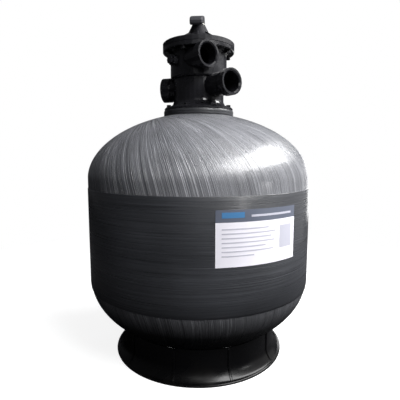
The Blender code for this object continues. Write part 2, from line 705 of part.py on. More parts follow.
def chamber_space():
    """The space of the lower drum round the centre tube, cut into chambers by webs."""
    ring = turned("chambers", [
        (CHAMBER_BORE, DECK_BOTTOM), (CHAMBER_BORE, FLOOR_TOP),
        (CENTRE_TUBE_RADIUS, FLOOR_TOP), (CENTRE_TUBE_RADIUS, DECK_BOTTOM),
    ])
    webs = []
    for i in range(CHAMBERS):
        web = box(f"web_{i}", (0.0, -WEB_THICKNESS / 2, FLOOR_BOTTOM),
                  (UPPER_DRUM_RADIUS, WEB_THICKNESS / 2, DECK_TOP))
        webs.append(moved(web, about(chamber_azimuth(i + 0.5))))
    for web in webs:
        ring = combine(ring, web, "DIFFERENCE")
    return ring


def valve_body():
    body = body_outside()
    for shape in body_additions():
        body = combine(body, shape, "UNION", "MANIFOLD")
    upper = turned("upper_bore", [
        (0.0, BODY_TOP + 0.01), (BODY_BORE, BODY_TOP + 0.01), (BODY_BORE, DECK_TOP), (0.0, DECK_TOP),
    ], ring=False)
    lower = turned("neck_bore", [
        (SPIGOT_RADIUS - SPIGOT_WALL, FLOOR_BOTTOM), (SPIGOT_RADIUS - SPIGOT_WALL, SPIGOT_BOTTOM - 0.01),
        (CENTRE_TUBE_RADIUS, SPIGOT_BOTTOM - 0.01), (CENTRE_TUBE_RADIUS, FLOOR_BOTTOM),
    ])
    centre = cylinder("centre_bore", CENTRE_BORE, SPIGOT_BOTTOM - 0.01, DECK_BOTTOM - 0.004, 32)
    pilot = cylinder("pilot_bore", PILOT_RADIUS + RUN_GAP, PILOT_BOTTOM - RUN_GAP, DECK_TOP + 0.002, 16)
    cuts = [upper, chamber_space(), lower, centre, pilot]
    cuts.append(port_bore("pump_bore", PORT_DIRECTION_DEG, INLET_OFFSET, INLET_HEIGHT, INLET_BORE_START,
                          INLET_REACH))
    cuts.append(port_bore("return_bore", PORT_DIRECTION_DEG, 0.0, PORT_HEIGHT, PORT_BORE_START,
                          PORT_REACH))
    cuts.append(port_bore("waste_bore", WASTE_DIRECTION_DEG, 0.0, PORT_HEIGHT, PORT_BORE_START,
                          WASTE_REACH))
    cuts.append(laid_cylinder("gauge_bore", GAUGE_BORE_RADIUS, GAUGE_BOSS_START, GAUGE_BOSS_REACH + 0.01,
                              GAUGE_DIRECTION_DEG, 0.0, GAUGE_HEIGHT, 16))
    windows = []
    for i in range(CHAMBERS):
        window = sector(f"deck_window_{i}", DECK_WINDOW_INNER + 0.010, DECK_WINDOW_OUTER, 21.0,
                        DECK_BOTTOM - 0.002, DECK_TOP + 0.002, 4)
        windows.append(moved(window, about(chamber_azimuth(i))))
    for i in TANK_CHAMBERS:
        drain = sector(f"tank_window_{i}", CENTRE_TUBE_RADIUS + 0.003, CHAMBER_BORE - 0.002, 20.0,
                       FLOOR_BOTTOM - 0.002, FLOOR_TOP + 0.002, 4)
        windows.append(moved(drain, about(chamber_azimuth(i))))
    for direction, chamber in ((PORT_DIRECTION_DEG, RETURN_CHAMBER), (WASTE_DIRECTION_DEG, WASTE_CHAMBER)):
        side = math.copysign(PORT_WINDOW_SHIFT_DEG, chamber_azimuth(chamber) - direction)
        way = sector(f"port_window_{chamber}", CHAMBER_BORE - 0.003, LOWER_DRUM_RADIUS + 0.001,
                     PORT_WINDOW_DEG / 2, FLOOR_TOP + 0.015, DECK_BOTTOM - 0.009, 4)
        windows.append(moved(way, about(direction + side)))
    cuts.append(joined("windows", windows))
    cuts.append(screw_holes("lug_holes", COVER_SCREWS, COVER_SCREW_CIRCLE, COVER_SCREW_START_DEG,
                            COVER_SCREW_RADIUS + GAP, LUG_BOTTOM + LUG_FLOOR, BODY_TOP + 0.01))
    cuts.append(screw_holes("valve_bolt_holes", FLANGE_BOLTS, FLANGE_BOLT_CIRCLE, FLANGE_BOLT_START_DEG,
                            FLANGE_BOLT_RADIUS + GAP, FLANGE_JOINT - 0.01, FLANGE_JOINT + 0.02))
    groove = SEAL_CORD / 2 + GAP
    cuts.append(turned("cover_seal_groove", [
        (COVER_SEAL_RADIUS - groove, BODY_TOP + 0.002), (COVER_SEAL_RADIUS + groove, BODY_TOP + 0.002),
        (COVER_SEAL_RADIUS + groove, BODY_TOP - SEAL_GROOVE_DEPTH),
        (COVER_SEAL_RADIUS - groove, BODY_TOP - SEAL_GROOVE_DEPTH),
    ]))
    for cut in cuts:
        body = combine(body, cut, "DIFFERENCE", "MANIFOLD")
    return smooth(body)


COVER_SEAL_RADIUS = BODY_BORE + 0.0025 + SEAL_CORD / 2 + GAP


def cover_seal():
    return torus("cover_seal", COVER_SEAL_RADIUS, SEAL_CORD / 2, BODY_TOP - SEAL_CORD / 2, finish=RUBBER)


def gauge_plug():
    """A hex-headed plug in the gauge boss."""
    head = laid_cylinder("gauge_plug", GAUGE_PLUG_HEAD, GAUGE_BOSS_REACH + GAP,
                         GAUGE_BOSS_REACH + GAP + GAUGE_PLUG_HEAD_HEIGHT, GAUGE_DIRECTION_DEG, 0.0,
                         GAUGE_HEIGHT, 8, BLACK_ABS)
    shank = laid_cylinder("plug_shank", GAUGE_BORE_RADIUS - GAP, GAUGE_BOSS_REACH - GAUGE_PLUG_LENGTH,
                          GAUGE_BOSS_REACH + 0.003, GAUGE_DIRECTION_DEG, 0.0, GAUGE_HEIGHT, 16)
    return smooth(combine(head, shank, "UNION"))


def spider_gasket():
    """Flat gasket on the deck: an outer ring and a centre ring joined by spokes."""
    low = DECK_TOP + GAP
    high = low + GASKET_THICKNESS
    outer = turned("spider_gasket", [
        (BODY_BORE - 0.002, high), (BODY_BORE - 0.002, low), (DECK_WINDOW_OUTER + 0.001, low),
        (DECK_WINDOW_OUTER + 0.001, high),
    ], RUBBER)
    inner = turned("gasket_centre", [
        (DECK_WINDOW_INNER + 0.009, high), (DECK_WINDOW_INNER + 0.009, low), (PILOT_RADIUS + 0.003, low),
        (PILOT_RADIUS + 0.003, high),
    ], steps=24)
    spokes = []
    for i in range(CHAMBERS):
        spoke = box(f"spoke_{i}", (DECK_WINDOW_INNER, -0.003, low + 0.0001),
                    (DECK_WINDOW_OUTER + 0.004, 0.003, high - 0.0001))
        spokes.append(moved(spoke, about(chamber_azimuth(i + 0.5))))
    gasket = combine(outer, joined("spokes", spokes), "UNION")
    return smooth(combine(gasket, inner, "UNION"))


valve_body()
cover_seal()
gauge_plug()
spider_gasket()


# Cover: a lid with a deep rim and sunk screws, a low dome with ribs, and a hub round the stem
COVER_BOTTOM = BODY_TOP + GAP
STEM_BORE = STEM_SEAL_RING + STEM_SEAL_CORD / 2 + GAP


def valve_cover():
    profile = [(STEM_BORE, HUB_TOP), (HUB_TOP_RADIUS - 0.001, HUB_TOP), (HUB_TOP_RADIUS, HUB_TOP - 0.001)]
    profile += [(HUB_FOOT_RADIUS, HUB_FOOT_HEIGHT), *COVER_DOME, (COVER_RADIUS - 0.0015, COVER_TOP)]
    profile += [(COVER_RADIUS, COVER_TOP - 0.0015), (COVER_RADIUS, COVER_BOTTOM)]
    profile += [(BODY_BORE - GAP, COVER_BOTTOM), (BODY_BORE - GAP, COVER_RING_BOTTOM)]
    profile += [(COVER_RING_INNER, COVER_RING_BOTTOM), *COVER_CAVITY]
    profile += [(STEM_BORE, SPRING_SEAT)]
    cover = turned("valve_cover", profile, BLACK_ABS)
    ribs = []
    for i in range(COVER_RIBS):
        low = HUB_FOOT_RADIUS - 0.004
        outline = [(low, SPRING_SEAT + 0.001), (COVER_RIB_REACH, COVER_TOP - 0.001)]
        outline += [(COVER_RIB_REACH, COVER_TOP + 0.0016), (low, HUB_FOOT_HEIGHT + 0.006)]
        rib = plate(f"cover_rib_{i}", outline, COVER_RIB_WIDTH / 2)
        ribs.append(moved(rib, about(COVER_SCREW_START_DEG + (i + 0.5) * 360 / COVER_RIBS)))
    cover = combine(cover, joined("cover_ribs", ribs), "UNION", "MANIFOLD")
    holes = screw_holes("cover_holes", COVER_SCREWS, COVER_SCREW_CIRCLE, COVER_SCREW_START_DEG,
                        COVER_SCREW_RADIUS + GAP, COVER_BOTTOM - 0.002, COVER_TOP + 0.002)
    sinks = screw_holes("cover_sinks", COVER_SCREWS, COVER_SCREW_CIRCLE, COVER_SCREW_START_DEG,
                        COVER_SCREW_HEAD + GAP, COVER_SCREW_SEAT, COVER_TOP + 0.002)
    cover = combine(cover, holes, "DIFFERENCE", "MANIFOLD")
    return smooth(cleared(combine(cover, sinks, "DIFFERENCE", "MANIFOLD")))


def cover_screws():
    seat = COVER_SCREW_SEAT + GAP
    for i in range(COVER_SCREWS):
        head = cylinder(f"cover_screw_{i + 1}", COVER_SCREW_HEAD, seat, seat + COVER_SCREW_HEAD_HEIGHT, 8,
                        STEEL)
        shank = cylinder("screw_shank", COVER_SCREW_RADIUS, LUG_BOTTOM + LUG_FLOOR + GAP, seat + 0.001, 6)
        screw = combine(head, shank, "UNION")
        place = about(COVER_SCREW_START_DEG + i * 360 / COVER_SCREWS)
        moved(screw, place @ Matrix.Translation((COVER_SCREW_CIRCLE, 0, 0)))


# Rotor: the diverter disc with its window, its closed passage, and the stem with two seal grooves
WASHER_LOW = HUB_TOP + GAP
WASHER_HIGH = WASHER_LOW + HANDLE_WASHER_THICKNESS
HANDLE_PIN_HEIGHT = WASHER_HIGH + HANDLE_PIN_RISE
STEM_TOP = HANDLE_PIN_HEIGHT + STEM_ABOVE_PIN
ROTOR_BOTTOM = DECK_TOP + GAP + GASKET_THICKNESS + GAP
ROTOR_TOP = ROTOR_BOTTOM + ROTOR_DISC


def rotor():
    groove_radius = STEM_SEAL_RING - STEM_SEAL_CORD / 2 - GAP
    half = STEM_SEAL_CORD / 2 + GAP
    profile = [(0.0, STEM_TOP), (STEM_RADIUS - 0.0015, STEM_TOP), (STEM_RADIUS, STEM_TOP - 0.0015)]
    profile += [(STEM_RADIUS, COLLAR_TOP), (COLLAR_RADIUS, COLLAR_TOP - 0.001)]
    for height in reversed(STEM_SEALS):
        profile += [(COLLAR_RADIUS, height + half), (groove_radius, height + half)]
        profile += [(groove_radius, height - half), (COLLAR_RADIUS, height - half)]
    profile += [(COLLAR_RADIUS, COLLAR_BOTTOM), (STEM_RADIUS, COLLAR_BOTTOM - 0.001)]
    profile += [(STEM_RADIUS, ROTOR_HUB_TOP)]
    profile += [(SPRING_FLANGE, ROTOR_HUB_TOP), (SPRING_FLANGE, ROTOR_HUB_TOP - 0.003)]
    profile += [(ROTOR_HUB_RADIUS, ROTOR_HUB_TOP - 0.003), (ROTOR_HUB_RADIUS, ROTOR_TOP)]
    profile += [(ROTOR_RADIUS, ROTOR_TOP), (ROTOR_RADIUS, ROTOR_BOTTOM), (PILOT_RADIUS, ROTOR_BOTTOM)]
    profile += [(PILOT_RADIUS, PILOT_BOTTOM), (0.0, PILOT_BOTTOM)]
    made = turned("rotor", profile, BLACK_ABS, ring=False, steps=24)
    hood = sector("hood", ROTOR_PASSAGE_INNER - 0.003, ROTOR_PASSAGE_OUTER + 0.003,
                  ROTOR_PASSAGE_DEG / 2 + 4.0, ROTOR_TOP - 0.002, ROTOR_HOOD_TOP, 6)
    passage = sector("passage", ROTOR_PASSAGE_INNER, ROTOR_PASSAGE_OUTER, ROTOR_PASSAGE_DEG / 2,
                     ROTOR_BOTTOM - 0.002, ROTOR_HOOD_TOP - 0.003, 6)
    window = sector("rotor_window", ROTOR_PASSAGE_INNER, ROTOR_PASSAGE_OUTER, ROTOR_WINDOW_DEG / 2,
                    ROTOR_BOTTOM - 0.002, ROTOR_TOP + 0.002, 4)
    made = combine(made, moved(hood, about(chamber_azimuth(ROTOR_PASSAGE_PLACE))), "UNION", "MANIFOLD")
    moved(passage, about(chamber_azimuth(ROTOR_PASSAGE_PLACE)))
    made = combine(made, passage, "DIFFERENCE", "MANIFOLD")
    made = combine(made, moved(window, about(chamber_azimuth(ROTOR_WINDOW_PLACE))), "DIFFERENCE", "MANIFOLD")
    pin = laid_cylinder("pin_hole", HANDLE_PIN_RADIUS + GAP, -0.02, 0.02, HANDLE_DIRECTION_DEG + 90.0, 0.0,
                        HANDLE_PIN_HEIGHT, 12)
    return smooth(cleared(combine(made, pin, "DIFFERENCE", "MANIFOLD")))


def stem_seals():
    for i, height in enumerate(STEM_SEALS):
        torus(f"stem_seal_{i + 1}", STEM_SEAL_RING, STEM_SEAL_CORD / 2, height, steps=16, finish=RUBBER)


def rotor_spring():
    """A wire swept along a spiral, with its two ends capped."""
    low = ROTOR_HUB_TOP + GAP + SPRING_WIRE / 2
    high = SPRING_SEAT - GAP - SPRING_WASHER_THICKNESS - GAP - SPRING_WIRE / 2
    curve = bpy.data.curves.new("spring_wire", "CURVE")
    curve.dimensions = "3D"
    curve.bevel_depth = SPRING_WIRE / 2
    curve.bevel_resolution = 1
    curve.use_fill_caps = True
    line = curve.splines.new("POLY")
    count = SPRING_TURNS * SPRING_TURN_STEPS
    line.points.add(count)
    for i in range(count + 1):
        angle = 2 * math.pi * i / SPRING_TURN_STEPS
        height = low + (high - low) * i / count
        line.points[i].co = (SPRING_RADIUS * math.cos(angle), SPRING_RADIUS * math.sin(angle), height, 1.0)
    helper = add("spring_wire", curve)
    graph = bpy.context.evaluated_depsgraph_get()
    graph.update()
    mesh = bpy.data.meshes.new_from_object(helper.evaluated_get(graph))
    bpy.data.objects.remove(helper, do_unlink=True)
    shape = bmesh.new()
    shape.from_mesh(mesh)
    bmesh.ops.remove_doubles(shape, verts=shape.verts, dist=MERGE)
    shape.to_mesh(mesh)
    shape.free()
    return smooth(add("rotor_spring", mesh, STEEL), 60.0)


def ring_washer(name, inner, outer, low, high, finish):
    return turned(name, [(inner, high), (outer, high), (outer, low), (inner, low)], finish, steps=24)


# Handle: a lever over the stem, tilting on a pin. Pressed down, it lifts the stem by its heel on the washer
def handle():
    outline = [(x, HANDLE_PIN_HEIGHT + z) for x, z in HANDLE_OUTLINE]
    lever = plate("handle", outline, HANDLE_WIDTH / 2, BLACK_ABS)
    edge = lever.modifiers.new("edge", "BEVEL")
    edge.width = HANDLE_EDGE
    edge.segments = 2
    edge.limit_method = "ANGLE"
    edge.angle_limit = math.radians(60)
    applied(lever)
    slot = box("handle_slot", (-HANDLE_SLOT_HALF_LENGTH, -HANDLE_SLOT / 2, WASHER_LOW - 0.01),
               (HANDLE_SLOT_HALF_LENGTH, HANDLE_SLOT / 2, STEM_TOP + HANDLE_ROOF_CLEARANCE))
    lever = combine(lever, slot, "DIFFERENCE", "MANIFOLD")
    pin = cylinder("handle_pin_hole", HANDLE_PIN_RADIUS + GAP, -0.02, 0.02, 12)
    pin = moved(pin, Matrix.Rotation(math.radians(90), 4, "X"))
    pin = moved(pin, Matrix.Translation((0, 0, HANDLE_PIN_HEIGHT)))
    lever = combine(lever, pin, "DIFFERENCE", "MANIFOLD")
    moved(lever, about(HANDLE_DIRECTION_DEG))
    moved(lever, Matrix.Translation((0, 0, -HANDLE_PIN_HEIGHT)))
    lever.location = (0, 0, HANDLE_PIN_HEIGHT)
    return smooth(lever)


def handle_pin():
    half = HANDLE_WIDTH / 2 - 0.001
    pin = cylinder("handle_pin", HANDLE_PIN_RADIUS, -half, half, 12, STEEL)
    pin = moved(pin, Matrix.Rotation(math.radians(90), 4, "X"))
    return smooth(moved(pin, Matrix.Translation((0, 0, HANDLE_PIN_HEIGHT)) @ about(HANDLE_DIRECTION_DEG)))


valve_cover()
cover_screws()
rotor()
stem_seals()
rotor_spring()
ring_washer("spring_washer", STEM_BORE, SPRING_WASHER_RADIUS, SPRING_SEAT - GAP - SPRING_WASHER_THICKNESS,
            SPRING_SEAT - GAP, STEEL)
ring_washer("handle_washer", STEM_BORE, HANDLE_WASHER_RADIUS, WASHER_LOW, WASHER_HIGH, NYLON)
handle_pin()
handle()


# The arms end a set distance inside the lower dome, at the height of their own underside
LATERAL_SHARE = (LOW_DOME_START - COLLECTOR_HEIGHT + LATERAL_RADIUS) / (LOW_DOME_DROP - TANK_WALL)
LATERAL_REACH = (TANK_RADIUS - TANK_WALL) * oval(LATERAL_SHARE, LOW_DOME_POWER) - LATERAL_END_ROOM


# Pipework: the centre pipe in its hub, the slotted arms round the hub and the thin air pipe
def standpipe():
    inner = PIPE_RADIUS - PIPE_WALL
    low = COLLECTOR_LEDGE + GAP
    profile = [(inner, PIPE_TOP), (PIPE_RADIUS, PIPE_TOP), (PIPE_RADIUS, low), (inner, low)]
    return smooth(turned("standpipe", profile, PIPE_PVC, steps=24))


def lateral_hub():
    socket = PIPE_RADIUS + GAP
    profile = [
        (socket, COLLECTOR_TOP), (COLLECTOR_RADIUS - 0.002, COLLECTOR_TOP),
        (COLLECTOR_RADIUS, COLLECTOR_TOP - 0.002), (COLLECTOR_RADIUS, COLLECTOR_BOTTOM + 0.002),
        (COLLECTOR_RADIUS - 0.002, COLLECTOR_BOTTOM), (0.0, COLLECTOR_BOTTOM),
        (0.0, COLLECTOR_BOTTOM + 0.005), (COLLECTOR_BORE, COLLECTOR_BOTTOM + 0.005),
        (COLLECTOR_BORE, COLLECTOR_LEDGE), (socket, COLLECTOR_LEDGE),
    ]
    hub = turned("lateral_hub", profile, BLACK_PP, steps=24)
    for i in range(LATERALS):
        turn = LATERAL_START_DEG + i * 360 / LATERALS
        far = COLLECTOR_RADIUS + 0.01
        socket = turned(f"lateral_socket_{i}", [
            (0.0, far), (LATERAL_RADIUS + GAP, far), (LATERAL_RADIUS + GAP, LATERAL_SEAT),
            (0.0, LATERAL_SEAT),
        ], ring=False, steps=LATERAL_STEPS)
        moved(socket, Matrix.Rotation(math.radians(90), 4, "Y"))
        moved(socket, about(turn) @ Matrix.Translation((0, 0, COLLECTOR_HEIGHT)))
        way = laid_cylinder(f"lateral_way_{i}", LATERAL_WAY_RADIUS, COLLECTOR_BORE - 0.003,
                            LATERAL_SEAT + 0.002, turn, 0.0, COLLECTOR_HEIGHT, 6)
        hub = combine(hub, socket, "DIFFERENCE", "MANIFOLD")
        hub = combine(hub, way, "DIFFERENCE", "MANIFOLD")
    low = COLLECTOR_TOP - AIR_TUBE_DEPTH
    hole = cylinder("air_hole", AIR_TUBE_RADIUS + GAP, low, COLLECTOR_TOP + 0.01, 8)
    hole = moved(hole, about(AIR_TUBE_TURN_DEG) @ Matrix.Translation((AIR_TUBE_OFFSET, 0, 0)))
    return smooth(cleared(combine(hub, hole, "DIFFERENCE", "MANIFOLD")))


def laterals():
    """Arms with a closed end. A few broad grooves stand for the fine slots that hold back the sand."""
    inner = LATERAL_RADIUS - LATERAL_WALL
    start = LATERAL_SEAT + GAP
    for i in range(LATERALS):
        profile = [(0.0, LATERAL_REACH), (LATERAL_RADIUS - 0.002, LATERAL_REACH)]
        profile += [(LATERAL_RADIUS, LATERAL_REACH - 0.002)]
        pitch = (LATERAL_REACH - COLLECTOR_RADIUS) / (LATERAL_SLOTS + 1)
        for slot in range(LATERAL_SLOTS, 0, -1):
            middle = COLLECTOR_RADIUS + slot * pitch
            low, high = middle - LATERAL_SLOT_WIDTH / 2, middle + LATERAL_SLOT_WIDTH / 2
            profile += [(LATERAL_RADIUS, high), (LATERAL_RADIUS - LATERAL_SLOT_DEPTH, high)]
            profile += [(LATERAL_RADIUS - LATERAL_SLOT_DEPTH, low), (LATERAL_RADIUS, low)]
        profile += [(LATERAL_RADIUS, start), (inner, start), (inner, LATERAL_REACH - LATERAL_WALL)]
        profile += [(0.0, LATERAL_REACH - LATERAL_WALL)]
        arm = turned(f"lateral_{i + 1}", profile, BLACK_PP, ring=False, steps=LATERAL_STEPS)
        moved(arm, Matrix.Rotation(math.radians(90), 4, "Y"))
        place = about(LATERAL_START_DEG + i * 360 / LATERALS) @ Matrix.Translation((0, 0, COLLECTOR_HEIGHT))
        smooth(moved(arm, place))


def air_relief_tube():
    inner = AIR_TUBE_RADIUS - AIR_TUBE_WALL
    low = COLLECTOR_TOP - AIR_TUBE_DEPTH + GAP
    foot = AIR_TUBE_TOP - STRAINER_LENGTH
    profile = [(0.0, AIR_TUBE_TOP), (STRAINER_RADIUS, AIR_TUBE_TOP), (STRAINER_RADIUS, foot)]
    profile += [(AIR_TUBE_RADIUS, foot), (AIR_TUBE_RADIUS, low), (inner, low), (inner, AIR_TUBE_TOP - 0.002)]
    profile += [(0.0, AIR_TUBE_TOP - 0.002)]
    tube = turned("air_relief_tube", profile, PIPE_PVC, ring=False, steps=12)
    return smooth(moved(tube, about(AIR_TUBE_TURN_DEG) @ Matrix.Translation((AIR_TUBE_OFFSET, 0, 0))))


standpipe()
lateral_hub()
laterals()
air_relief_tube()
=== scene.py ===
# A pool sand filter with its top-mounted multiport valve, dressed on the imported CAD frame.
# Metres, +Z up, and the label side faces -Y.

import math

import bpy
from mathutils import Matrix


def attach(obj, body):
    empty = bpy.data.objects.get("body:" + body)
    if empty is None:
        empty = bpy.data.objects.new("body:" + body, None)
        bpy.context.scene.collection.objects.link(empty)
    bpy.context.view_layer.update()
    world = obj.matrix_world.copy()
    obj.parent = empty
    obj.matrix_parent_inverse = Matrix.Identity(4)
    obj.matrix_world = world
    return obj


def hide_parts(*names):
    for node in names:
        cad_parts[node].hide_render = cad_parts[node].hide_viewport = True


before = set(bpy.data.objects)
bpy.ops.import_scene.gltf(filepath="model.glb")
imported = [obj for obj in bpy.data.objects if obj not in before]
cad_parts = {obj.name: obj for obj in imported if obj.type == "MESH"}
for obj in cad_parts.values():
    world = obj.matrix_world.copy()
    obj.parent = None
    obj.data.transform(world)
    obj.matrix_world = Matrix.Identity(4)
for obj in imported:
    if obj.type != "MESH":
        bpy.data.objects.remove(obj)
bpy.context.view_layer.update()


# The room: a white sweep seen by the camera alone, in an otherwise dark studio lit from the right. Its
# floor is painted board, which keeps the filter's shadow near the foot and runs out to plain white.
def linear(hex_colour):
    """An sRGB hex value as linear red, green, blue and alpha."""
    parts = [int(hex_colour[i:i + 2], 16) / 255 for i in (0, 2, 4)]
    return [c / 12.92 if c <= 0.04045 else ((c + 0.055) / 1.055) ** 2.4 for c in parts] + [1.0]


def node(tree, kind, sockets=(), **settings):
    """Adds a node, sets its properties, and fills its sockets with values or with other nodes' outputs."""
    made = tree.nodes.new(kind)
    for name, value in settings.items():
        setattr(made, name, value)
    for key, value in dict(sockets).items():
        if isinstance(value, bpy.types.NodeSocket):
            tree.links.new(value, made.inputs[key])
        else:
            made.inputs[key].default_value = value
    return made


def maths(tree, operation, *terms):
    return node(tree, "ShaderNodeMath", dict(enumerate(terms)), operation=operation).outputs[0]


def noise(tree, vector, scale, detail, roughness=0.5):
    sockets = {"Vector": vector, "Scale": scale, "Detail": detail, "Roughness": roughness}
    return node(tree, "ShaderNodeTexNoise", sockets).outputs["Fac"]


def spread(tree, value, low, high, first=0.0, last=1.0):
    """Maps a value between first and last onto the range from low to high."""
    sockets = {"Value": value, "From Min": first, "From Max": last, "To Min": low, "To Max": high}
    return node(tree, "ShaderNodeMapRange", sockets).outputs[0]


def blank_material(name):
    made = bpy.data.materials.new(name)
    made.use_nodes = True
    made.node_tree.nodes.clear()
    return made, made.node_tree


def start():
    """Leaves object mode with nothing selected, ready for the next primitive."""
    if bpy.context.object and bpy.context.object.mode != "OBJECT":
        bpy.ops.object.mode_set(mode="OBJECT")
    bpy.ops.object.select_all(action="DESELECT")


def seen_directly(tree):
    """Is 1 for what the camera sees by itself or through something clear, and 0 for all other light."""
    paths = node(tree, "ShaderNodeLightPath").outputs
    return maths(tree, "MAXIMUM", paths["Is Camera Ray"], paths["Is Transmission Ray"])


FLOOR_GLOW = 0.86
SHADOW_REACH = 0.7
SHADOW_END = 1.6


def white_board():
    made, tree = blank_material("painted_white_board")
    place = node(tree, "ShaderNodeTexCoord").outputs["Object"]
    paint = spread(tree, noise(tree, place, 260.0, 2.0), 0.42, 0.52)
    lit = node(tree, "ShaderNodeBsdfDiffuse", {"Color": paint})
    glow = node(tree, "ShaderNodeEmission", {"Color": linear("FFFFFF"), "Strength": FLOOR_GLOW})
    near = node(tree, "ShaderNodeAddShader", {0: glow.outputs[0], 1: lit.outputs[0]})
    far = node(tree, "ShaderNodeEmission", {"Color": linear("FFFFFF"), "Strength": 1.0})
    reach = node(tree, "ShaderNodeVectorMath", {0: place}, operation="LENGTH").outputs["Value"]
    fade = spread(tree, reach, 0.0, 1.0, SHADOW_REACH, SHADOW_END)
    white = node(tree, "ShaderNodeMixShader", {0: fade, 1: near.outputs[0], 2: far.outputs[0]})
    dark = node(tree, "ShaderNodeBsdfDiffuse", {"Color": linear("3A3A3C")})
    sides = {0: seen_directly(tree), 1: dark.outputs[0], 2: white.outputs[0]}
    mixed = node(tree, "ShaderNodeMixShader", sides)
    node(tree, "ShaderNodeOutputMaterial", {"Surface": mixed.outputs[0]})
    return made


start()
bpy.ops.mesh.primitive_plane_add(size=40.0, location=(0.0, 0.0, -0.0005))
floor = bpy.context.object
floor.name = "floor"
bpy.ops.object.transform_apply(location=True, rotation=True, scale=True)
floor.data.materials.append(white_board())

ROOM_FILL = 0.07
world = bpy.data.worlds.new("room")
bpy.context.scene.world = world
world.use_nodes = True
sky = world.node_tree
sky.nodes.clear()
wall = node(sky, "ShaderNodeBackground", {"Color": linear("FFFFFF"), "Strength": 1.0})
dim = node(sky, "ShaderNodeBackground", {"Color": linear("F4F6FF"), "Strength": ROOM_FILL})
room = node(sky, "ShaderNodeMixShader", {0: seen_directly(sky), 1: dim.outputs[0], 2: wall.outputs[0]})
node(sky, "ShaderNodeOutputWorld", {"Surface": room.outputs[0]})


def softbox(name, place, aim, width, height, power, roll=0.0):
    """An area light at a place, turned to face a point and rolled about its own axis by some degrees."""
    lamp = bpy.data.lights.new(name, "AREA")
    lamp.shape = "RECTANGLE"
    lamp.size = width
    lamp.size_y = height
    lamp.energy = power
    stand = bpy.data.objects.new(name, lamp)
    bpy.context.scene.collection.objects.link(stand)
    stand.location = place
    gaze = [a - b for a, b in zip(aim, place)]
    stand.rotation_euler = (
        math.atan2(math.hypot(gaze[0], gaze[1]), -gaze[2]), 0.0, math.atan2(gaze[1], gaze[0]) - math.pi / 2,
    )
    stand.rotation_euler.rotate_axis("Z", math.radians(roll))


# A tall window at the right lights the dome, and the rest are dim walls and panes that edge the black parts
softbox("window", (1.66, -0.60, 2.06), (0.0, 0.0, 0.50), 3.50, 1.05, 215.0, 3.0)
softbox("right_wall", (1.9, 0.1, 0.7), (0.0, 0.0, 0.45), 2.2, 1.5, 5.0)
softbox("low_pane", (1.58, -0.85, 0.43), (0.144, -0.263, 0.50), 0.34, 0.10, 1.8)
softbox("back_wall", (1.1, 1.6, 0.45), (0.0, 0.0, 0.40), 0.8, 0.6, 5.0)
softbox("ceiling", (0.5, -0.3, 2.6), (0.0, 0.0, 0.40), 1.2, 0.8, 8.0)
softbox("front_strip", (1.30, -1.60, 1.02), (0.0, 0.0, 0.72), 0.25, 0.9, 4.0)
softbox("front_glint", (0.0, -2.6, 1.85), (0.0, 0.0, 0.88), 0.7, 0.5, 5.0)

# The camera stands where the photograph's did: just over a metre away, a little above the middle of the
# tank and tipped down, with the lens that fits its hoop band, label, foot and lid in one view.
CAMERA_DISTANCE = 1.038
CAMERA_HEIGHT = 0.537
CAMERA_TIP = 0.1152
CAMERA_TURN = 0.0036
PHOTO_WIDTH_PX = 400
LENS_PX = 366.85
lens = bpy.data.cameras.new("camera")
lens.sensor_width = 36.0
lens.lens = lens.sensor_width * LENS_PX / PHOTO_WIDTH_PX
camera = bpy.data.objects.new("camera", lens)
bpy.context.scene.collection.objects.link(camera)
camera.location = (0.0, -CAMERA_DISTANCE, CAMERA_HEIGHT)
camera.rotation_euler = (math.pi / 2 - CAMERA_TIP, 0.0, -CAMERA_TURN)
bpy.context.scene.camera = camera
bpy.context.scene.view_settings.view_transform = "Standard"


# The tank: a polyethylene liner wound with glass roving in grey polyester resin. The domes carry slanted
# polar windings, pulled past the neck, and the cylinder has a darker band of level hoop windings over them.
TANK_RADIUS = 0.300
HOOP_THICKNESS = 0.0012
HOOP_LOW = 0.197
HOOP_HIGH = 0.457
TOP_DOME_START = 0.4836
TOP_DOME_RISE = 0.1740
TOP_DOME_POWER = 1.905
LOW_DOME_START = 0.2166
LOW_DOME_DROP = 0.1890
LOW_DOME_POWER = 2.0
NECK_HOLE_RADIUS = 0.0773
TANK_WALL = 0.006


def one_point(name, place):
    """Adds a mesh that is a single point, selected in edit mode, to be drawn out from there."""
    start()
    bpy.ops.mesh.primitive_plane_add(size=0.001, location=place)
    made = bpy.context.object
    made.name = name
    bpy.ops.object.transform_apply(location=True, rotation=True, scale=True)
    bpy.ops.object.mode_set(mode="EDIT")
    bpy.ops.mesh.select_mode(type="VERT")
    bpy.ops.mesh.select_all(action="SELECT")
    bpy.ops.mesh.merge(type="CENTER")
    return made


def draw_along(stops):
    """Draws the selected point out from stop to stop, each a (radius, height), and selects the whole line."""
    for (r0, z0), (r1, z1) in zip(stops, stops[1:]):
        bpy.ops.mesh.extrude_region_move(TRANSFORM_OT_translate={"value": (r1 - r0, 0.0, z1 - z0)})
    bpy.ops.mesh.select_all(action="SELECT")


def join_ends():
    """Welds the last point of a drawn line to its first, and selects the whole line."""
    bpy.ops.mesh.remove_doubles(threshold=0.000001)
    bpy.ops.mesh.select_all(action="SELECT")


def lathe(name, profile, steps=128, closed=False):
    """Draws a profile of (radius, height) stops, spins it about the tank's axis and welds the seam."""
    made = one_point(name, (profile[0][0], 0.0, profile[0][1]))
    draw_along(profile + profile[:1] if closed else profile)
    if closed:
        join_ends()
    bpy.ops.mesh.spin(steps=steps, angle=2 * math.pi, center=(0.0, 0.0, 0.0), axis=(0.0, 0.0, 1.0))
    bpy.ops.mesh.select_all(action="SELECT")
    bpy.ops.mesh.remove_doubles(threshold=0.00001)
    bpy.ops.mesh.select_all(action="SELECT")
    bpy.ops.mesh.normals_make_consistent(inside=False)
    bpy.ops.object.mode_set(mode="OBJECT")
    return made


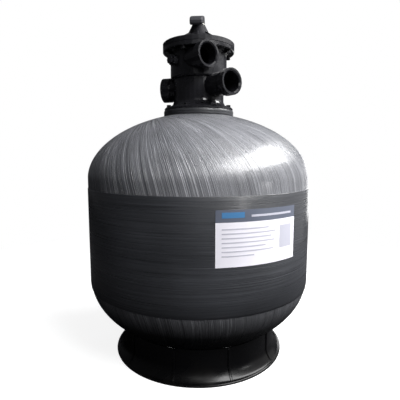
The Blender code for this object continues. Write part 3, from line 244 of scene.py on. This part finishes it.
def pick(piece):
    """Selects one piece alone and makes it the active one."""
    start()
    piece.select_set(True)
    bpy.context.view_layer.objects.active = piece


def smoothed(piece, degrees=35.0):
    pick(piece)
    bpy.ops.object.shade_smooth_by_angle(angle=math.radians(degrees))
    return piece


def dome_share(share, power):
    return (1 - share**power) ** (1 / power)


def top_dome(radius, inset=0.0):
    share = dome_share(radius / (TANK_RADIUS - inset), TOP_DOME_POWER)
    return TOP_DOME_START + (TOP_DOME_RISE - inset) * share


def low_dome(radius, inset=0.0):
    share = dome_share(radius / (TANK_RADIUS - inset), LOW_DOME_POWER)
    return LOW_DOME_START - (LOW_DOME_DROP - inset) * share


def dome_stations(inner, inset, steps):
    full = TANK_RADIUS - inset
    first = math.asin(inner / full)
    return [full * math.sin(first + (math.pi / 2 - first) * i / steps) for i in range(steps)]


top_out = [(r, top_dome(r)) for r in dome_stations(NECK_HOLE_RADIUS, 0.0, 40)]
low_out = [(r, low_dome(r)) for r in reversed(dome_stations(0.0, 0.0, 48))]
band_foot = TANK_RADIUS * dome_share((LOW_DOME_START - HOOP_LOW) / LOW_DOME_DROP, LOW_DOME_POWER)
low_out = [(r, z) for r, z in low_out if z < HOOP_LOW - 2 * HOOP_THICKNESS]
band = [(TANK_RADIUS, TOP_DOME_START), (TANK_RADIUS, HOOP_HIGH + HOOP_THICKNESS)]
band += [(TANK_RADIUS + HOOP_THICKNESS * 0.8, HOOP_HIGH + HOOP_THICKNESS * 0.5)]
band += [(TANK_RADIUS + HOOP_THICKNESS, HOOP_HIGH), (TANK_RADIUS + HOOP_THICKNESS, LOW_DOME_START)]
for i in range(1, 6):
    z = LOW_DOME_START - (LOW_DOME_START - HOOP_LOW) * i / 5
    r = TANK_RADIUS * dome_share((LOW_DOME_START - z) / LOW_DOME_DROP, LOW_DOME_POWER)
    band.append((r + HOOP_THICKNESS, z))
band.append((band_foot, HOOP_LOW - HOOP_THICKNESS))
inside = [(r, low_dome(r, TANK_WALL)) for r in dome_stations(0.0, TANK_WALL, 20)]
inside += [(TANK_RADIUS - TANK_WALL, LOW_DOME_START), (TANK_RADIUS - TANK_WALL, TOP_DOME_START)]
inside += [(r, top_dome(r, TANK_WALL)) for r in reversed(dome_stations(NECK_HOLE_RADIUS, TANK_WALL, 20))]
tank = smoothed(lathe("tank", inside + top_out + band + low_out, 160), 30.0)


# The polar windings leave a circle round the neck and lean down the dome as they run out to the cylinder.
# Low on the tank the resin's colour is darkened as painted shade, and its coat and gloss are turned down.
WINDING_CIRCLE = 0.12
WINDING_LEAN = 0.9
WINDING_PULL = 1.0
POLAR_STRANDS = 120.0
POLAR_DRIFT = 9.0
HOOP_STRETCH = (3.0, 3.0, 640.0)
SHADE_AND_DULL_LOW = 0.14
SHADE_AND_DULL_HIGH = 0.27


def vector_maths(tree, operation, *terms):
    return node(tree, "ShaderNodeVectorMath", dict(enumerate(terms)), operation=operation).outputs[0]


def blend(tree, share, first, last):
    """Mixes two colours by a share from 0 to 1."""
    sockets = {0: share, 6: linear(first), 7: linear(last)}
    return node(tree, "ShaderNodeMix", sockets, data_type="RGBA").outputs[2]


def relief(tree, height, strength, distance):
    sockets = {"Height": height, "Strength": strength, "Distance": distance}
    return node(tree, "ShaderNodeBump", sockets).outputs[0]


def surface(tree, sockets):
    """Gives the material its surface, with the sockets that this finish sets."""
    body = node(tree, "ShaderNodeBsdfPrincipled", sockets)
    node(tree, "ShaderNodeOutputMaterial", {"Surface": body.outputs[0]})


def polar_course(tree, axes):
    """A vector that runs along the polar windings, so that noise over it is drawn out into strands."""
    flat = node(tree, "ShaderNodeCombineXYZ", {"X": axes["X"], "Y": axes["Y"]}).outputs[0]
    radius = node(tree, "ShaderNodeVectorMath", {0: flat}, operation="LENGTH").outputs["Value"]
    share = maths(tree, "MINIMUM", maths(tree, "DIVIDE", WINDING_CIRCLE, radius), 1.0)
    fall = maths(tree, "MULTIPLY_ADD", axes["Z"], -WINDING_LEAN, maths(tree, "ARCCOSINE", share))
    outward = vector_maths(tree, "NORMALIZE", flat)
    twist = maths(tree, "MULTIPLY", fall, -WINDING_PULL)
    turned = node(tree, "ShaderNodeVectorRotate", {"Vector": outward, "Angle": twist}, rotation_type="Z_AXIS")
    lines = vector_maths(tree, "MULTIPLY", turned.outputs[0], (POLAR_STRANDS,) * 3)
    drift = node(tree, "ShaderNodeCombineXYZ", {"Z": maths(tree, "MULTIPLY", radius, POLAR_DRIFT)}).outputs[0]
    return vector_maths(tree, "ADD", lines, drift)


def resin_strands(name, pale, dark, polar):
    """Glass roving in resin. Polar windings slant down off the neck, and hoop windings run level. Each strand
    is about 3 mm wide, and ridges of resin between the strands catch the light; their crest lines are also
    painted paler in the colour, as painted glints."""
    made, tree = blank_material(name)
    place = node(tree, "ShaderNodeTexCoord").outputs["Object"]
    axes = node(tree, "ShaderNodeSeparateXYZ", {0: place}).outputs
    strand = polar_course(tree, axes) if polar else vector_maths(tree, "MULTIPLY", place, HOOP_STRETCH)
    fine = noise(tree, strand, 1.0, 4.0, 0.70)
    both = maths(tree, "MULTIPLY_ADD", noise(tree, strand, 0.20, 1.0), 0.25, fine)
    # Thin crest lines along the strands raise the bump, and they are also painted paler in the colour as
    # painted glints, on top of the strands' own tone.
    off_crest = maths(tree, "ABSOLUTE", maths(tree, "SUBTRACT", noise(tree, strand, 0.42, 1.0), 0.54))
    crest_and_painted_glint = spread(tree, off_crest, 1.0, 0.0, 0.0, 0.022)
    raised = maths(tree, "MULTIPLY_ADD", crest_and_painted_glint, 0.50 if polar else 0.20, both)
    tint = blend(tree, spread(tree, raised, 0.0, 1.0, 0.44, 1.15), dark, pale)
    patch = spread(tree, noise(tree, place, 7.0, 2.0), 0.80, 1.20, 0.3, 0.7)
    # Painted shade: the colour darkens towards the bottom of the tank, and the same mask turns the coat and
    # specular down there.
    painted_shade_and_dull = spread(tree, axes["Z"], 0.05, 1.0, SHADE_AND_DULL_LOW, SHADE_AND_DULL_HIGH)
    surface(tree, {
        "Base Color": vector_maths(tree, "MULTIPLY", tint, maths(tree, "MULTIPLY", patch, painted_shade_and_dull)),
        "Roughness": spread(tree, fine, 0.24, 0.40, 0.35, 0.65),
        "Normal": relief(tree, raised, 0.90 if polar else 0.45, 0.0014 if polar else 0.0008),
        "IOR": 1.56, "Coat Weight": maths(tree, "MULTIPLY", painted_shade_and_dull, 0.30), "Coat Roughness": 0.16,
        "Specular IOR Level": maths(tree, "MULTIPLY", painted_shade_and_dull, 0.50),
    })
    return made


tank.data.materials.append(resin_strands("polar_wound_roving", "97989D", "4E4F53", True))
tank.data.materials.append(resin_strands("hoop_wound_roving", "45474C", "212225", False))
for face in tank.data.polygons:
    middle = face.center
    level = HOOP_LOW - HOOP_THICKNESS < middle.z < HOOP_HIGH + HOOP_THICKNESS
    face.material_index = 1 if level and math.hypot(middle.x, middle.y) > TANK_RADIUS - TANK_WALL * 2 else 0
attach(tank, "filter")
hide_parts("tank_shell")


# The foot: one black polypropylene moulding. Its skirt flares out to a rolled rim, its seat follows the
# lower dome, and shallow upright ribs stiffen it. It is satin, with dust in the flare.
FOOT_RADIUS = 0.236
FOOT_WAIST = 0.2145
FOOT_RIM = 0.006
FOOT_FLARE = 0.036
FOOT_WALL = 0.005
FOOT_LIP = 0.007
FOOT_LIP_RISE = 0.002
RIM_WIDTH = 0.016
SEAT_WIDTH = 0.016
SEAT_OUTER_UNDERSIDE = 0.066
SEAT_INNER_UNDERSIDE = 0.070
FLARE_STEPS = 14
FOOT_RIBS = 10
FIRST_RIB_AZIMUTH = 20.0
RIB_HALF_WIDTH = 0.003
RIB_DEPTH = 0.0025
RIB_SINK = 0.002
RIB_EDGE = 0.0008
GAP = 0.0003

flare = []
for i in range(FLARE_STEPS + 1):
    t = i / FLARE_STEPS
    flare.append((FOOT_WAIST + (FOOT_RADIUS - FOOT_LIP - FOOT_WAIST) * (1 - t) ** 2,
                  FOOT_RIM + FOOT_LIP_RISE + (FOOT_FLARE - FOOT_RIM) * t))
foot_profile = [(FOOT_WAIST - 0.0012, low_dome(FOOT_WAIST - 0.0012) - GAP)]
foot_profile += [(FOOT_WAIST, low_dome(FOOT_WAIST) - 0.0016)]
foot_profile += flare[::-1]
foot_profile += [(FOOT_RADIUS - 0.004, FOOT_RIM + 0.0004), (FOOT_RADIUS - 0.0016, FOOT_RIM - 0.0003)]
foot_profile += [(FOOT_RADIUS - 0.0004, FOOT_RIM - 0.0014), (FOOT_RADIUS, FOOT_RIM - 0.0028)]
foot_profile += [(FOOT_RADIUS, 0.0020), (FOOT_RADIUS - 0.0006, 0.0006), (FOOT_RADIUS - 0.0020, 0.0)]
foot_profile += [(FOOT_RADIUS - RIM_WIDTH, 0.0), (FOOT_RADIUS - RIM_WIDTH, 0.004)]
foot_profile += [(r - FOOT_WALL, z) for r, z in flare[1:]]
foot_profile += [(FOOT_WAIST - FOOT_WALL, SEAT_OUTER_UNDERSIDE)]
foot_profile += [(FOOT_WAIST - SEAT_WIDTH, SEAT_INNER_UNDERSIDE)]
foot_profile += [(FOOT_WAIST - SEAT_WIDTH, low_dome(FOOT_WAIST - SEAT_WIDTH) - GAP)]
foot = lathe("foot", foot_profile, 160, closed=True)


def foot_rib(name, outline, azimuth):
    """A rib whose outline lies in a plane through the axis, given its thickness and soft edges."""
    made = one_point(name, (outline[0][0], -RIB_HALF_WIDTH, outline[0][1]))
    draw_along(outline + outline[:1])
    join_ends()
    bpy.ops.mesh.edge_face_add()
    bpy.ops.mesh.select_all(action="SELECT")
    bpy.ops.mesh.extrude_region_move(TRANSFORM_OT_translate={"value": (0.0, 2 * RIB_HALF_WIDTH, 0.0)})
    bpy.ops.mesh.select_all(action="SELECT")
    bpy.ops.mesh.normals_make_consistent(inside=False)
    bpy.ops.object.mode_set(mode="OBJECT")
    edge = made.modifiers.new("edge", "BEVEL")
    edge.width = RIB_EDGE
    edge.segments = 3
    edge.limit_method = "ANGLE"
    edge.angle_limit = math.radians(40)
    bpy.ops.object.modifier_apply(modifier="edge")
    return placed(made, azimuth)


def placed(piece, azimuth):
    """Turns a piece drawn on +X to its azimuth, counted from -Y towards +X, and keeps it at the origin."""
    pick(piece)
    piece.rotation_euler = (0.0, 0.0, math.radians(azimuth - 90.0))
    bpy.ops.object.transform_apply(location=True, rotation=True, scale=True)
    return piece


def fused(pieces):
    """Joins pieces into the first one."""
    pick(pieces[0])
    for piece in pieces:
        piece.select_set(True)
    bpy.ops.object.join()
    return pieces[0]


rib_line = [(r, z) for r, z in flare[::2]] + [(FOOT_WAIST, low_dome(FOOT_WAIST) - 0.004)]
rib_outline = [(r - RIB_SINK, z) for r, z in rib_line] + [(r + RIB_DEPTH, z) for r, z in reversed(rib_line)]
rib_azimuths = [FIRST_RIB_AZIMUTH + i * 360 / FOOT_RIBS for i in range(FOOT_RIBS)]
ribs = [foot_rib(f"foot_rib_{i}", rib_outline, azimuth) for i, azimuth in enumerate(rib_azimuths)]
foot = smoothed(fused([foot] + ribs), 35.0)


def satin_plastic(name, colour, dust, gloss, sheen):
    """Satin moulded plastic with a fine grain, and pale dust gathered low down and in patches."""
    made, tree = blank_material(name)
    place = node(tree, "ShaderNodeTexCoord").outputs["Object"]
    height = node(tree, "ShaderNodeSeparateXYZ", {0: place}).outputs["Z"]
    cloud = noise(tree, place, 16.0, 5.0)
    low = spread(tree, height, 0.10, 0.7, 0.060, 0.0)
    dusted = maths(tree, "MULTIPLY", low, spread(tree, cloud, 0.0, 1.0, 0.45, 0.75))
    surface(tree, {
        "Base Color": blend(tree, dusted, colour, dust), "IOR": 1.49, "Specular IOR Level": sheen,
        "Roughness": spread(tree, cloud, gloss, gloss + 0.14, 0.3, 0.7),
        "Normal": relief(tree, noise(tree, place, 900.0, 2.0), 0.20, 0.0002),
    })
    return made


foot.data.materials.append(satin_plastic("satin_black_polypropylene", "050506", "121110", 0.20, 0.22))
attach(foot, "filter")
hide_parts("tank_base")


# The neck flange: charcoal ABS, moulded and bonded into the tank's neck. Its square-edged collar stands on
# the dome, and a parting groove runs round its rim.
NECK_BORE = 0.0705
NECK_FLANGE_RADIUS = 0.0955
NECK_FLANGE_TOP = 0.6625
NECK_TUBE = NECK_BORE + 0.0065
NECK_LOW = 0.634
NECK_SHOULDER = 0.092
NECK_CHAMFER = 0.002
neck_profile = [
    (NECK_BORE, NECK_LOW), (NECK_BORE, NECK_FLANGE_TOP), (NECK_FLANGE_RADIUS - 0.0022, NECK_FLANGE_TOP),
    (NECK_FLANGE_RADIUS - 0.0008, NECK_FLANGE_TOP - 0.0004), (NECK_FLANGE_RADIUS, NECK_FLANGE_TOP - 0.0018),
    (NECK_FLANGE_RADIUS, NECK_FLANGE_TOP - 0.0064), (NECK_FLANGE_RADIUS - 0.0009, NECK_FLANGE_TOP - 0.0072),
    (NECK_FLANGE_RADIUS - 0.0009, NECK_FLANGE_TOP - 0.0082), (NECK_FLANGE_RADIUS, NECK_FLANGE_TOP - 0.0090),
    (NECK_FLANGE_RADIUS, top_dome(NECK_FLANGE_RADIUS) + 0.003),
    (NECK_FLANGE_RADIUS - 0.002, top_dome(NECK_FLANGE_RADIUS - 0.002) + GAP),
    (NECK_TUBE + 0.0023, top_dome(NECK_TUBE + 0.0020) + 0.0005), (NECK_TUBE, top_dome(NECK_TUBE) + 0.0005),
    (NECK_TUBE, top_dome(NECK_TUBE, TANK_WALL) - 0.0005),
    (NECK_SHOULDER, top_dome(NECK_SHOULDER, TANK_WALL) - 0.0005),
    (NECK_SHOULDER, NECK_LOW + NECK_CHAMFER), (NECK_SHOULDER - NECK_CHAMFER, NECK_LOW),
]
neck = smoothed(lathe("neck_collar", neck_profile, 128, closed=True), 35.0)
neck.data.materials.append(satin_plastic("satin_charcoal_abs", "303134", "5A5A5A", 0.34, 0.35))
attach(neck, "filter")
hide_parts("neck_flange")


# The label: a plain printed sheet of white film with a slate heading field, stuck on the hoop band. It
# carries a blue block and soft grey bars in a layout of its own.
LABEL_SKIN = TANK_RADIUS + HOOP_THICKNESS


def film(name, first, last, low, high, lift):
    """A strip of film on the cylinder between two azimuths: an edge swept round the axis."""
    radius = LABEL_SKIN + lift
    made = one_point(name, (radius, 0.0, low))
    draw_along([(radius, low), (radius, high)])
    turn = -math.radians(last - first)
    bpy.ops.mesh.spin(steps=max(2, round((last - first) / 1.5)), angle=turn, center=(0.0, 0.0, 0.0),
                      axis=(0.0, 0.0, 1.0))
    bpy.ops.object.mode_set(mode="OBJECT")
    thick = made.modifiers.new("thickness", "SOLIDIFY")
    thick.thickness = lift * 0.8
    thick.offset = -1.0
    bpy.ops.object.modifier_apply(modifier="thickness")
    bpy.ops.object.mode_set(mode="EDIT")
    bpy.ops.mesh.select_all(action="SELECT")
    bpy.ops.mesh.normals_make_consistent(inside=False)
    bpy.ops.object.mode_set(mode="OBJECT")
    return made


def shaded(tree, colour, shade):
    """A colour made lighter or darker by a factor that varies over the piece."""
    return vector_maths(tree, "MULTIPLY", linear(colour)[:3], shade)


def printed_film(name, colour, gloss):
    """Printed polyester film: flat ink under a thin gloss coat, faintly uneven where it was smoothed down."""
    made, tree = blank_material(name)
    place = node(tree, "ShaderNodeTexCoord").outputs["Object"]
    cloud = noise(tree, place, 30.0, 3.0)
    surface(tree, {
        "Base Color": shaded(tree, colour, spread(tree, cloud, 0.94, 1.04)),
        "Roughness": spread(tree, cloud, gloss, gloss + 0.12),
        "Normal": relief(tree, cloud, 0.10, 0.001),
    })
    return made


white_film = printed_film("white_polyester_film", "D8D6DE", 0.30)
slate_film = printed_film("slate_printed_film", "565B68", 0.26)
grey_ink = printed_film("grey_ink", "A9A9B4", 0.40)
blue_ink = printed_film("blue_ink", "3F6F9A", 0.30)

LABEL_FIRST = 6.5
LABEL_LAST = 46.3
LABEL_LOW = 0.309
LABEL_FOLD = 0.404
LABEL_HIGH = 0.430
FILM_LIFT = 0.00030
INK_LIFT = 0.00045
BAR_MARGIN = 2.5
BAR_SPANS = (21.0, 24.5, 22.5, 24.0, 19.5, 23.5, 14.0)
BAR_DROP = 0.013
BAR_PITCH = 0.0095
BAR_HEIGHT = 0.0028
BAR_FIRST = LABEL_FIRST + BAR_MARGIN
sheets = [
    ("label_sheet", LABEL_FIRST, LABEL_LAST, LABEL_LOW, LABEL_FOLD, FILM_LIFT, white_film),
    ("label_heading", LABEL_FIRST, LABEL_LAST, LABEL_FOLD, LABEL_HIGH, FILM_LIFT, slate_film),
    ("heading_block", BAR_FIRST, LABEL_FIRST + 12.0, LABEL_FOLD + 0.009, LABEL_HIGH - 0.005,
     INK_LIFT, blue_ink),
    ("heading_bar", LABEL_FIRST + 15.0, LABEL_LAST - 3.0, LABEL_FOLD + 0.010, LABEL_FOLD + 0.0145,
     INK_LIFT, grey_ink),
    ("picture_field", LABEL_LAST - 10.0, LABEL_LAST - BAR_MARGIN, LABEL_LOW + 0.030, LABEL_FOLD - 0.014,
     INK_LIFT, grey_ink),
]
for i, span in enumerate(BAR_SPANS):
    top = LABEL_FOLD - BAR_DROP - i * BAR_PITCH
    sheets.append((f"label_bar_{i + 1}", BAR_FIRST, BAR_FIRST + span, top - BAR_HEIGHT, top,
                   INK_LIFT, grey_ink))
for name, first, last, low, high, lift, ink in sheets:
    piece = placed(film(name, first, last, low, high, lift), first)
    smoothed(piece, 35.0)
    piece.data.materials.append(ink)
    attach(piece, "filter")


# Black ABS, injection moulded: the valve's body, lid, handle and plug. The mould leaves a glossy skin
# with a faint ripple, dulled a little where hands and water have been.
def moulded_plastic(name, colour, low_gloss, high_gloss, ripple, sheen):
    made, tree = blank_material(name)
    place = node(tree, "ShaderNodeTexCoord").outputs["Object"]
    haze = noise(tree, place, 24.0, 4.0)
    surface(tree, {
        "Base Color": shaded(tree, colour, spread(tree, haze, 0.75, 1.3)), "IOR": 1.53,
        "Roughness": spread(tree, haze, low_gloss, high_gloss, 0.35, 0.65), "Specular IOR Level": sheen,
        "Normal": relief(tree, noise(tree, place, 420.0, 2.0), ripple, 0.0002),
    })
    return made


def dressed(names, finish):
    """Gives CAD nodes a finish in place of their plain colour."""
    for name in names:
        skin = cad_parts[name].data.materials
        skin.clear()
        skin.append(finish)


dressed(("valve_body", "rotor", "gauge_plug"),
        moulded_plastic("glossy_black_abs", "1A1A1D", 0.14, 0.28, 0.12, 0.34))
dressed(("valve_cover",), moulded_plastic("satin_black_abs", "1C1C1F", 0.46, 0.58, 0.30, 0.12))
# The handle's black is painted lighter than the other valve parts, as painted light on its lit grip.
dressed(("handle",), moulded_plastic("painted_lit_black_abs", "343438", 0.30, 0.44, 0.20, 0.30))


# Steel: turned screws and the pin, drawn spring wire, stamped washer. Passivated stainless with the fine
# rings that the tool or the die leaves. The flange bolts are blackened.
def turned_steel(name, colour, rough, lines):
    made, tree = blank_material(name)
    place = node(tree, "ShaderNodeTexCoord").outputs["Object"]
    marks = noise(tree, vector_maths(tree, "MULTIPLY", place, lines), 1.0, 3.0)
    surface(tree, {
        "Base Color": shaded(tree, colour, spread(tree, noise(tree, place, 90.0, 2.0), 0.80, 1.12)),
        "Metallic": 1.0, "Roughness": spread(tree, marks, rough, rough + 0.16, 0.3, 0.7),
        "Normal": relief(tree, marks, 0.2, 0.0001), "Anisotropic": 0.4,
    })
    return made


dressed([f"flange_bolt_{i}" for i in range(1, 9)],
        turned_steel("blackened_steel", "2A2A2C", 0.30, (300.0,) * 3))
dressed([f"cover_screw_{i}" for i in range(1, 9)] + ["handle_pin"],
        turned_steel("turned_stainless_steel", "A8A8A6", 0.24, (200.0, 200.0, 1800.0)))
dressed(("rotor_spring", "spring_washer"), turned_steel("drawn_stainless_wire", "5E5E60", 0.32, (900.0,) * 3))


# Rubber and soft seals: moulded EPDM, dull and faintly dusty, with a fine mould texture.
def moulded_rubber(name, colour, bloom):
    made, tree = blank_material(name)
    place = node(tree, "ShaderNodeTexCoord").outputs["Object"]
    dust = noise(tree, place, 60.0, 4.0)
    surface(tree, {
        "Base Color": blend(tree, spread(tree, dust, 0.0, 1.0, 0.45, 0.8), colour, bloom),
        "Roughness": spread(tree, dust, 0.55, 0.85),
        "Normal": relief(tree, noise(tree, place, 1500.0, 1.0), 0.25, 0.0001),
    })
    return made


dressed(("neck_seal", "cover_seal", "spider_gasket", "stem_seal_1", "stem_seal_2"),
        moulded_rubber("moulded_epdm_rubber", "1B1B1C", "3C3B3A"))


# Pipework in the tank: extruded grey PVC pipes, and black polypropylene hub and arms. The slip washer under
# the handle is white nylon.
def extruded_pipe(name, colour, gloss, along):
    """Extruded or turned plastic: faint lines from the die, and a slightly uneven gloss."""
    made, tree = blank_material(name)
    place = node(tree, "ShaderNodeTexCoord").outputs["Object"]
    lines = noise(tree, vector_maths(tree, "MULTIPLY", place, along), 1.0, 3.0)
    surface(tree, {
        "Base Color": shaded(tree, colour, spread(tree, noise(tree, place, 20.0, 3.0), 0.85, 1.12)),
        "Roughness": spread(tree, lines, gloss, gloss + 0.2),
        "Normal": relief(tree, lines, 0.15, 0.0002),
    })
    return made


dressed(("standpipe", "air_relief_tube"),
        extruded_pipe("extruded_grey_pvc", "8A8C8E", 0.30, (900.0, 900.0, 6.0)))
dressed(["lateral_hub"] + [f"lateral_{i}" for i in range(1, 9)],
        extruded_pipe("moulded_black_polypropylene", "161617", 0.34, (400.0, 400.0, 400.0)))
dressed(("handle_washer",), extruded_pipe("turned_white_nylon", "DCDBD2", 0.36, (60.0, 60.0, 1500.0)))
